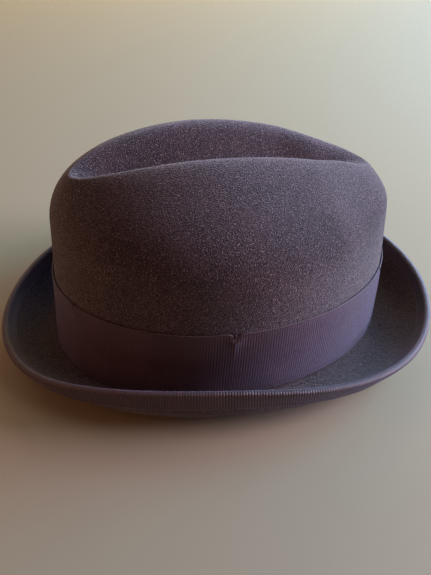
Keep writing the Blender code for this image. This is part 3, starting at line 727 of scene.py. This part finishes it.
def bandSheet(t, levels):
    t = t[:, None]
    top = bandTop(t)
    z = lerp(bandCut["bottom"], top, levels[None])
    below = top - z
    off = ribbonCut["standOff"] + ribbonCut["thickness"] / 2 + 0 * z
    off = off + bandCut["flare"] * hump(below, 2.2)
    for away, pull in fromTacks(t):
        off = off + pull * bandCut["puff"] * hump(away, 3.4) * hump(below - 4.2, 2.4)
        off = off - pull * bandCut["flare"] * hump(away, 2.0) * hump(below, 2.2)
    off = off + 0.12 * (1 + np.sin(11 * t + z / 9) * np.sin(z / 14 + 4 * t)) * ease(below / 5)
    return onWall(np.broadcast_to(t, z.shape), z, off)


def ribCount(length):
    return round(length / ribbonCut["pitch"])


def makeBand():
    ribs = ribCount(evenTurns(lambda t: wallPoint(t, 25.0), 8, left)[1])
    t, length = evenTurns(lambda t: wallPoint(t, 25.0), ribs * ribbonCut["samples"], left)
    levels = np.concatenate([[0, 0.008], np.linspace(0.03, 0.86, 8), [0.90, 0.93, 0.955, 0.975, 0.99, 1.0]])
    run = np.arange(len(t)) * length / len(t)
    across = lerp(bandCut["bottom"], bandCut["top"], levels)
    band = stripPiece("hatBand", bandSheet(t, levels), ribbonCut["thickness"], run, across, True)
    applyTree(band, ribTree, Pitch=length / ribs, Height=ribbonCut["ribHeight"] * metres, Material=grosgrain)
    return rideHat(band, "grosgrain", "hat_band")


hatBand = makeBand()


def makeTack(place, degrees):
    # Two plies of thread come up through the felt, cross the ribbon's edge and go back down.
    t = np.radians(degrees)
    share = np.linspace(0, 1, 14)
    top = float(bandTop(np.array(t)))
    z = top + lerp(1.2, -1.6, share)
    off = 0.2 + 1.0 * np.sin(np.pi * share) ** 0.7 + 0.35 * share
    plies = []
    for phase in (0, np.pi):
        twist = share * 3 * np.pi + phase
        angle = t + 0.2 * np.cos(twist) / hatBlock["halfWidth"]
        plies.append(tubePiece("ply", onWall(angle, z, off + 0.14 * np.sin(twist)), 0.24, 8, False,
                               twist=outward(np.array([t]))[0]))
    first = plies[0]
    first.name = "tack_" + place
    with bpy.context.temp_override(active_object=first, selected_editable_objects=plies):
        bpy.ops.object.join()
    first.data.materials.append(thread)
    return rideHat(first, "thread", "band_tack_" + place)


for place, degrees in tackTurns.items():
    makeTack(place, degrees)
print("hat band", len(hatBand.data.polygons), "faces, and its tacks")


# Bow.

bowCut = {
    "loopLength": 33.0, "loopOpen": 3.6, "knotHalfWidth": 6.5, "bottom": 4.6, "top": 46.8,
    "tailFront": 29.0, "tailRear": -41.0, "tailNotch": 9.0, "gap": 0.3,
}
ribStep = ribbonCut["pitch"] / ribbonCut["samples"]
bowUnder = ribbonCut["standOff"] + ribbonCut["thickness"] + bowCut["gap"] + 0.1 + 0.3


def onBow(u, z, off):  # u runs from the knot towards the front
    return onWall(left - u / hatBlock["halfLength"], z, off)


def ribbonPiece(name, middle, run, across):
    piece = stripPiece(name, middle, ribbonCut["thickness"], run, across, False)
    applyTree(piece, ribTree, Pitch=ribbonCut["pitch"], Height=ribbonCut["ribHeight"] * metres,
              Material=grosgrain)
    return piece


def makeBowTail():
    c = bowCut
    levels = np.linspace(0, 1, 25)
    z = lerp(c["bottom"], c["top"], levels)[None]
    notch = c["tailRear"] + c["tailNotch"] * (1 - np.abs(2 * levels - 1))
    count = round((c["tailFront"] - c["tailRear"]) / ribStep)
    share = np.linspace(0, 1, count)[:, None]
    u = lerp(c["tailFront"], notch[None], share)
    off = bowUnder + ribbonCut["thickness"] / 2 + 0.9 * ease((-u - 24) / 18) + 0.15 * np.sin(z / 8 + u / 10)
    middle = onBow(u, np.broadcast_to(z, u.shape), off)
    return rideHat(ribbonPiece("bowTail", middle, u - c["tailRear"], z[0]), "grosgrain", "bow_tail")


def makeBowLoop(name, way, node):
    c = bowCut
    low = bowUnder + 1.5 * ribbonCut["thickness"] + c["gap"]
    high = low + ribbonCut["thickness"] + c["gap"]
    radius = c["loopOpen"] / 2 + (high - low) / 2
    straight = c["loopLength"] - radius - 0.2
    back = np.linspace(1.0, straight, 60)
    turn = np.linspace(-np.pi / 2, np.pi / 2, 16)[1:-1]
    rise = ease((back - 1.0) / (straight - 1.0))
    u = np.concatenate([back, straight + radius * np.cos(turn), back[::-1]])
    off = np.concatenate([0 * back + low, low + radius + radius * np.sin(turn),
                          lerp(high, low + 2 * radius, rise)[::-1]])
    length = np.concatenate([[0], np.cumsum(np.hypot(np.diff(u), np.diff(off)))])
    run = np.linspace(0, length[-1], round(length[-1] / ribStep))
    u, off = np.interp(run, length, u), np.interp(run, length, off)
    z = lerp(c["bottom"] + 0.5, c["top"] - 0.5, np.linspace(0, 1, 17))
    sway = 0.35 * np.sin(np.pi * (z - c["bottom"]) / (c["top"] - c["bottom"]) * 2)[None]
    off = off[:, None] + sway * ease((u[:, None] - 6) / 20)
    middle = onBow(way * u[:, None] + 0 * z[None], z[None] + 0 * off, off)
    return rideHat(ribbonPiece(name, middle, run, z), "grosgrain", node)


def makeBowKnot():
    c = bowCut
    face = bowUnder + 2.5 * ribbonCut["thickness"] + 3 * c["gap"] + 0.45
    bend, low, high = 1.1, c["bottom"] - 0.9, c["top"] + 0.9
    turn = np.linspace(0, np.pi / 2, 7)
    z = np.concatenate([[low, low], low + bend * (1 - np.cos(turn[1:])), np.linspace(low + bend, high - bend, 60)[1:-1],
                        high - bend + bend * np.sin(turn[:-1]), [high, high]])
    off = np.concatenate([[bowUnder, face - bend], face - bend + bend * np.sin(turn[1:]), np.full(58, face),
                          face - bend + bend * np.cos(turn[:-1]), [face - bend, bowUnder]])
    middleRise = 0.55 * np.sin(np.pi * np.clip((z - low) / (high - low), 0, 1))
    length = np.concatenate([[0], np.cumsum(np.hypot(np.diff(z), np.diff(off)))])
    run = np.linspace(0, length[-1], round(length[-1] / ribStep))
    z, off, middleRise = (np.interp(run, length, values) for values in (z, off, middleRise))
    side = np.linspace(-1, 1, 21)
    u = c["knotHalfWidth"] * side * (1 - 0.10 * np.sin(np.pi * np.clip((z - low) / (high - low), 0, 1)))[:, None]
    folds = 0.30 * np.cos(side * 2.5 * np.pi)[None] * ease((off - bowUnder) / (face - bowUnder))[:, None]
    crowned = 0.5 * (1 - side ** 4)[None] - 0.5
    offs = off[:, None] + middleRise[:, None] + (folds + crowned) * ease((off - bowUnder) / 2)[:, None]
    middle = onBow(u, z[:, None] + 0 * u, offs)
    return rideHat(ribbonPiece("bowKnot", middle, run, side * c["knotHalfWidth"]), "grosgrain", "bow_knot")


makeBowTail()
makeBowLoop("bowLoopFront", 1, "bow_loop_front")
makeBowLoop("bowLoopRear", -1, "bow_loop_rear")
makeBowKnot()
print("bow")


# Brim binding.

bindingCut = {"width": 7.4, "thickness": 0.5, "gap": 0.38, "ribHeight": 0.36, "samples": 4, "curl": 0.5}


def brimLift(t):  # the brim's top face by distance in from its cut edge
    rows, width = brimSections(t)
    normal = gridNormals(rows[::-1], True)
    edgeOut = unit(rows[-1] - rows[-2])

    def at(inward):
        place = np.clip(inward / (width / brimSteps), 0, brimSteps - 1.001)
        first = place.astype(int)
        share = (place - first)[:, None]
        column = np.arange(len(t))
        point = lerp(rows[::-1][first, column], rows[::-1][first + 1, column], share)
        return point, unit(lerp(normal[first, column], normal[first + 1, column], share))

    return at, edgeOut


def bindingSheet(t):
    c = bindingCut
    at, edgeOut = brimLift(t)
    felt, clear = hatBlock["felt"], c["gap"] + c["thickness"] / 2
    columns = []
    inward = np.array([1.0, 0.93, 0.8, 0.6, 0.4, 0.24, 0.12, 0.05]) * c["width"]
    for distance in inward:
        point, normal = at(np.full(len(t), distance))
        columns.append(point + normal * clear)
    point, normal = at(np.zeros(len(t)))
    centre = point - normal * felt / 2
    radius = felt / 2 + clear
    for turn in np.radians([70, 35, 0, -35, -70]):
        columns.append(centre + normal * radius * np.sin(turn) + edgeOut * radius * np.cos(turn) * 0.75)
    for distance in inward[::-1]:
        point, normal = at(np.full(len(t), distance))
        curl = c["curl"] * ease((distance - 5) / 3.5) * (1 + 0.4 * np.sin(31 * t) * np.sin(12 * t + 1))
        columns.append(point - normal * (felt + clear + curl)[:, None])
    return np.array(columns).transpose(1, 0, 2)


def brimEdge(t):
    return brimSections(t)[0][-1]


def makeBinding():
    c = bindingCut
    ribs = ribCount(evenTurns(brimEdge, 8, rear)[1])
    t, length = evenTurns(brimEdge, ribs * c["samples"], rear)
    middle = bindingSheet(t)
    across = np.concatenate([[0], np.cumsum(np.linalg.norm(np.diff(middle[0], axis=0), axis=1))])
    run = np.arange(len(t)) * length / len(t)
    binding = stripPiece("brimBinding", middle, c["thickness"], run, across, True)
    applyTree(binding, ribTree, Pitch=length / ribs, Height=c["ribHeight"] * metres, Material=bindingCloth)
    return rideHat(binding, "binding_ribbon", "brim_binding")


brimBinding = makeBinding()
print("brim binding", len(brimBinding.data.polygons), "faces")


# Inside: sweatband, reed, tape, bow, tag.

bandSize = {
    "leather": 1.0, "top": 58.0, "bottom": 3.4, "reedCover": 6.6, "overReed": -4.7, "onWall": -3.5,
    "gapAngle": 0.3, "reedHeight": 4.5, "reedRadius": 0.8, "reedOff": -3.0, "tapeHalfWidth": 6.0,
}


def makeSweatband():
    c = bandSize
    t = np.radians(np.linspace(180 + c["gapAngle"], 540 - c["gapAngle"], 320))[:, None]
    share = np.concatenate([np.linspace(0, 0.2, 12)[:-1], np.linspace(0.2, 1, 22)])[None]
    z = lerp(c["bottom"], c["top"] + 0.15 * np.sin(9 * t), share)
    off = lerp(c["overReed"], c["onWall"], ease((z - c["reedCover"] + 0.5) / 5.5))
    creases = np.sin(23 * t + 2 * np.sin(3 * t)) * np.sin(z / 13 + 5 * t) + 1
    off = off - 0.28 * creases * ease((z - 10) / 12)
    off = off - 0.5 * hump(z - c["top"], 2.0)  # the free top edge leans in
    middle = onWall(np.broadcast_to(t, z.shape), z, off)
    run = (t[:, 0] - t[0, 0]) * 90
    band = stripPiece("sweatbandLeather", middle, c["leather"], run, share[0] * c["top"], False)
    band.data.materials.append(leather)
    return rideHat(band, "leather", "sweatband")


def makeReed():
    c = bandSize
    t = np.arange(320) * 2 * np.pi / 320
    path = onWall(t, c["reedHeight"], np.full(len(t), c["reedOff"]))
    reed = tubePiece("sweatbandReed", path, c["reedRadius"], 12, True)
    reed.data.materials.append(cottonTape)
    return rideHat(reed, "cotton_tape", "sweatband_reed")


def innerStrip(name, u, z, off, thickness, angle, material, slot, node):
    middle = onWall(angle - u / hatBlock["halfLength"], z, off)
    run = np.linalg.norm(np.diff(middle[:, 0], axis=0), axis=1)
    run = np.concatenate([[0], np.cumsum(run)])
    piece = stripPiece(name, middle, thickness, run, z[0] - z[0, 0], False)
    piece.data.materials.append(material)
    return rideHat(piece, slot, node) if node else piece


def makeSeamTape():
    u = np.linspace(-bandSize["tapeHalfWidth"], bandSize["tapeHalfWidth"], 17)[:, None]
    z = np.linspace(12.6, 46.7, 24)[None]
    off = -2.45 - 0.06 * np.sin(z / 4) + 0 * u
    return innerStrip("sweatbandSeamTape", u + 0 * z, z + 0 * u, off, 0.45, rear, cottonTape, "cotton_tape",
                      "sweatband_seam_tape")


def makeSizeTag():
    # A blank card with rounded corners, stuck to the leather.
    half, bottom, high, corner = 12.0, 30.0, 14.0, 2.2
    share = np.linspace(-1, 1, 25)[:, None]
    z = bottom + high * (0.5 - 0.5 * np.cos(np.linspace(0, np.pi, 17)))[None]
    near = np.clip(corner - np.minimum(z - bottom, bottom + high - z), 0, corner)
    reach = half - (corner - np.sqrt(corner ** 2 - near ** 2))
    u = share * reach
    off = -4.62 - 0.25 * share ** 4 + 0 * z
    return innerStrip("sizeTag", u, z + 0 * u, off, 0.35, np.radians(150), card, "tag_card", "size_tag")


def makeInnerBow():
    # Two pinched loops and a knot of narrow ribbon over the seam at the back; it takes the grosgrain material, not a
    # satin one.
    pieces = []
    for way in (1, -1):
        turn = np.linspace(0, 2 * np.pi, 41)[:-1]
        u = 0.9 + 7.0 * (0.5 - 0.5 * np.cos(turn))
        spread = (0.5 - 0.5 * np.cos(turn)) ** 0.6
        off = -5.0 + 0.42 * np.sin(turn) * (0.25 + 0.75 * spread)
        level = np.linspace(-1, 1, 11)[None]
        z = 18 + level * lerp(1.5, 3.8, ease((u - 1) / 6))[:, None]
        offs = off[:, None] + 0.12 * np.cos(level * 2 * np.pi) * (1 - spread)[:, None]
        middle = onWall(rear - way * (u[:, None] + 0 * level) / hatBlock["halfLength"], z, offs)
        run = np.linspace(0, 15, 41)[:-1]
        pieces.append(stripPiece("innerLoop", middle, 0.3, run, 4 * level[0], True))
    turn = np.linspace(0, 2 * np.pi, 33)[:-1]
    level = np.linspace(-1, 1, 9)[None]
    z = 18 + 2.1 * np.sin(turn)[:, None] * (1 - 0.12 * level ** 2)
    off = -5.0 + 0.55 * np.cos(turn)[:, None] + 0 * level
    middle = onWall(rear - 1.7 * level / hatBlock["halfLength"] + 0 * z, z, off)
    pieces.append(stripPiece("innerKnot", middle, 0.28, np.linspace(0, 9, 33)[:-1], 1.5 * level[0], True))
    first = pieces[0]
    first.name = "sweatbandBow"
    with bpy.context.temp_override(active_object=first, selected_editable_objects=pieces):
        bpy.ops.object.join()
    first.data.materials.append(grosgrain)
    return rideHat(first, "satin_ribbon", "sweatband_bow")


sweatbandLeather = makeSweatband()
makeReed()
makeSeamTape()
makeSizeTag()
makeInnerBow()
print("sweatband and its trim")


# Lining.

liningCut = {"thickness": 0.5, "bottom": 47.0, "seam": 84.0, "tilt": 5.5, "slack": 2.4, "dome": 2.0,
             "gathers": 58, "gatherDepth": 0.8, "clear": 2.2}


def crownRing(t, level):  # outside of the crown at one height at each angle
    b = hatBlock
    inward, upward = np.array(b["shoulder"] + ((1, 1),)).T
    start, crest = shoulderStart(t), crestPoint(t)
    wall = wallPoint(t, np.minimum(level - breakRise(t), start))
    share = np.clip((level - wall[:, 2]) / (crest[:, 2] - wall[:, 2]), 0, 1)
    ring = lerp(wall, crest, np.interp(share, upward, inward)[:, None])
    ring[:, 2] = level
    return pinched(ring)


def gathering(t):
    c = liningCut
    return 0.5 + 0.5 * np.sin(c["gathers"] * t + 1.8 * np.sin(5 * t) + 1.1 * np.sin(11 * t + 2))


def liningRow(t, share):
    c = liningCut
    level = lerp(c["bottom"] + breakRise(t), c["seam"] - c["tilt"] * np.cos(t), share)
    hang = c["slack"] * ease((share - 0.4) / 0.6)
    fold = c["gatherDepth"] * gathering(t) * ease(share) ** 2
    return crownRing(t, level) - outward(t) * (c["clear"] + c["thickness"] / 2 + hang + fold)[:, None]


def makeLiningSide():
    t = np.arange(480) * 2 * np.pi / 480
    shares = np.linspace(0, 1, 20)
    middle = np.array([liningRow(t, share) for share in shares]).transpose(1, 0, 2)
    side = stripPiece("liningSide", middle, 0.4, t * 90, shares * 40, True)
    side.data.materials.append(satin)
    return rideHat(side, "satin", "lining_side")


def makeLiningTip():
    c = liningCut
    t = np.arange(480) * 2 * np.pi / 480
    ring = liningRow(t, 1.0)
    middle = ring * (0.55, 0, 1)
    rows = []
    for share in np.linspace(0, 1, 26):
        row = lerp(ring, middle, share)
        row[:, 2] = c["seam"] - c["tilt"] * np.cos(t) * lerp(1, 0.55, share)
        row[:, 2] += 0.75 + c["dome"] * (1 - (1 - share) ** 2) * 0.8
        row[:, 2] -= 0.7 * gathering(t) * np.exp(-share * 9) * ease(share * 12)
        row[:, 2] -= 0.35 * (1 + np.sin(row[:, 0] / 13) * np.sin(row[:, 1] / 9)) * ease(share * 3)
        rows.append(row)
    rows[-1][:, 1] = 0
    mirrored = (-np.arange(len(t))) % len(t)
    rows[-1][:, 2] = 0.5 * (rows[-1][:, 2] + rows[-1][mirrored, 2])
    outside = np.array(rows)
    tip = capPiece("liningTip", outside + (0, 0, 0.2), outside - (0, 0, 0.2))
    uv = tip.data.uv_layers.new(name="cloth")
    corner = np.zeros(len(tip.data.loops), int)
    tip.data.loops.foreach_get("vertex_index", corner)
    places = np.zeros(len(tip.data.vertices) * 3)
    tip.data.vertices.foreach_get("co", places)
    uv.data.foreach_set("uv", places.reshape(-1, 3)[corner][:, :2].ravel())
    tip.data.materials.append(satin)
    return rideHat(tip, "satin", "lining_tip")


liningSide, liningTip = makeLiningSide(), makeLiningTip()
print("lining")


# Stitches.

stitchCut = {
    "bindingStitches": {"pitch": 2.6, "length": 1.5, "thread": 0.2, "slant": 0.0},
    "sweatbandStitches": {"pitch": 3.0, "length": 2.1, "thread": 0.25, "slant": 0.0},
    "backSeamStitches": {"pitch": 3.4, "length": 2.6, "thread": 0.25, "slant": 1.2},
    "liningStitches": {"pitch": 3.6, "length": 2.0, "thread": 0.22, "slant": 0.5},
}


def sewingLine(name, lines, closed):  # lines holds (points, face directions) for each run of stitches
    mesh = bpy.data.meshes.new(name)
    points, faces, edges = [], [], []
    for path, face in lines:
        first = len(points)
        count = len(path)
        points += placed(path).tolist()
        faces += face.tolist()
        edges += [(first + i, first + (i + 1) % count) for i in range(count if closed else count - 1)]
    mesh.from_pydata(points, edges, [])
    mesh.attributes.new("face", "FLOAT_VECTOR", "POINT").data.foreach_set("vector", np.ravel(faces))
    piece = bpy.data.objects.new(name, mesh)
    bpy.context.scene.collection.objects.link(piece)
    c = stitchCut[name]
    applyTree(piece, stitchTree, Pitch=c["pitch"] * metres, Length=c["length"] * metres,
              Thread=c["thread"] * metres, Slant=c["slant"], Material=thread)
    return rideHat(piece, "thread")


def makeBindingStitches():
    t = np.arange(720) * 2 * np.pi / 720
    at, _ = brimLift(t)
    point, normal = at(np.full(len(t), bindingCut["width"] - 1.0))
    surface = bindingCut["gap"] + bindingCut["thickness"] + bindingCut["ribHeight"]
    top = (point + normal * surface, normal)
    under = (point - normal * (hatBlock["felt"] + surface), -normal)
    return sewingLine("bindingStitches", [top, under], True)


def makeInnerStitches():
    t = np.arange(720) * 2 * np.pi / 720
    inward = -outward(t)
    z = 8.4
    off = lerp(bandSize["overReed"], bandSize["onWall"], ease((z - bandSize["reedCover"] + 0.5) / 5.5))
    path = onWall(t, z, np.full(len(t), off - bandSize["leather"] / 2))
    sewingLine("sweatbandStitches", [(path, inward)], True)
    z = np.linspace(24, 56, 30)
    path = onWall(np.full(30, rear), z, np.full(30, bandSize["onWall"] - bandSize["leather"] / 2 - 0.15))
    sewingLine("backSeamStitches", [(path, np.tile(-outward(np.array([rear])), (30, 1)))], False)
    ring = liningRow(t, 0.97) - outward(t) * 0.3
    sewingLine("liningStitches", [(ring, inward)], True)


makeBindingStitches()
makeInnerStitches()
print("stitches")


# Floor, light and camera.

stageLook = {
    "floor": "#a39a80", "world": "#ead2c4", "worldStrength": 0.06,
    "lights": {  # azimuth and height in degrees, distance and size in metres, watts, colour
        "windowLow": (-20, 15, 1.2, 0.6, 27.0, "#e8daff"),
        "windowSide": (5, 20, 1.2, 0.6, 16.0, "#90dcff"),
        "windowFar": (38, 19, 1.3, 0.8, 8.5, "#98bcff"),
        "wallBehind": (66, 16, 1.5, 1.2, 12.5, "#ffeac0"),
        "wallRear": (115, 20, 1.5, 1.2, 5.0, "#ffddc4"),
        "lampLeft": (180, 20, 1.5, 1.0, 5.0, "#ffa880"),
        "skyHigh": (-40, 45, 1.2, 0.6, 2.6, "#fff0f4"),
    },
}


def makeStage():
    mesh = bpy.data.meshes.new("studioFloor")
    reach = 4.0
    mesh.from_pydata([(-reach, -reach, 0), (reach, -reach, 0), (reach, reach, 0), (-reach, reach, 0)], [],
                     [(0, 1, 2, 3)])
    floor = bpy.data.objects.new("studioFloor", mesh)
    bpy.context.scene.collection.objects.link(floor)
    material, _, _ = newMaterial("paintedBoard", Base_Color=hexColour(stageLook["floor"]), Roughness=0.9,
                                 Specular_IOR_Level=0.2)
    mesh.materials.append(material)
    world = bpy.data.worlds.new("paleRoom")
    world.use_nodes = True
    world.node_tree.nodes["Background"].inputs[0].default_value = hexColour(stageLook["world"])
    world.node_tree.nodes["Background"].inputs[1].default_value = stageLook["worldStrength"]
    bpy.context.scene.world = world
    aim = np.array([0, 0, 0.05])
    for name, (azimuth, height, distance, size, power, tint) in stageLook["lights"].items():
        a, h = np.radians(azimuth), np.radians(height)
        back = np.array([np.cos(a) * np.cos(h), np.sin(a) * np.cos(h), np.sin(h)])
        data = bpy.data.lights.new(name, "AREA")
        data.shape, data.size, data.energy = "DISK", size, power
        data.color = hexColour(tint)[:3]
        light = bpy.data.objects.new(name, data)
        light.location = aim + back * distance
        light.rotation_euler = (0, 0, 0)
        light.rotation_mode = "QUATERNION"
        light.rotation_quaternion = Vector(-back).to_track_quat("-Z", "Y")
        light.visible_camera = False
        bpy.context.scene.collection.objects.link(light)


cameraPlace = {"location": (-0.13706, -0.35067, 0.27861), "turn": (0.96926, -0.01231, -0.36335), "lens": 44.44}


def makeCamera():
    data = bpy.data.cameras.new("camera")
    data.lens, data.sensor_width = cameraPlace["lens"], 36.0
    data.clip_start = 0.01
    camera = bpy.data.objects.new("camera", data)
    camera.location, camera.rotation_euler = cameraPlace["location"], cameraPlace["turn"]
    bpy.context.scene.collection.objects.link(camera)
    bpy.context.scene.camera = camera


makeStage()
makeCamera()
bpy.context.scene.view_settings.view_transform = "Standard"
print("stage")
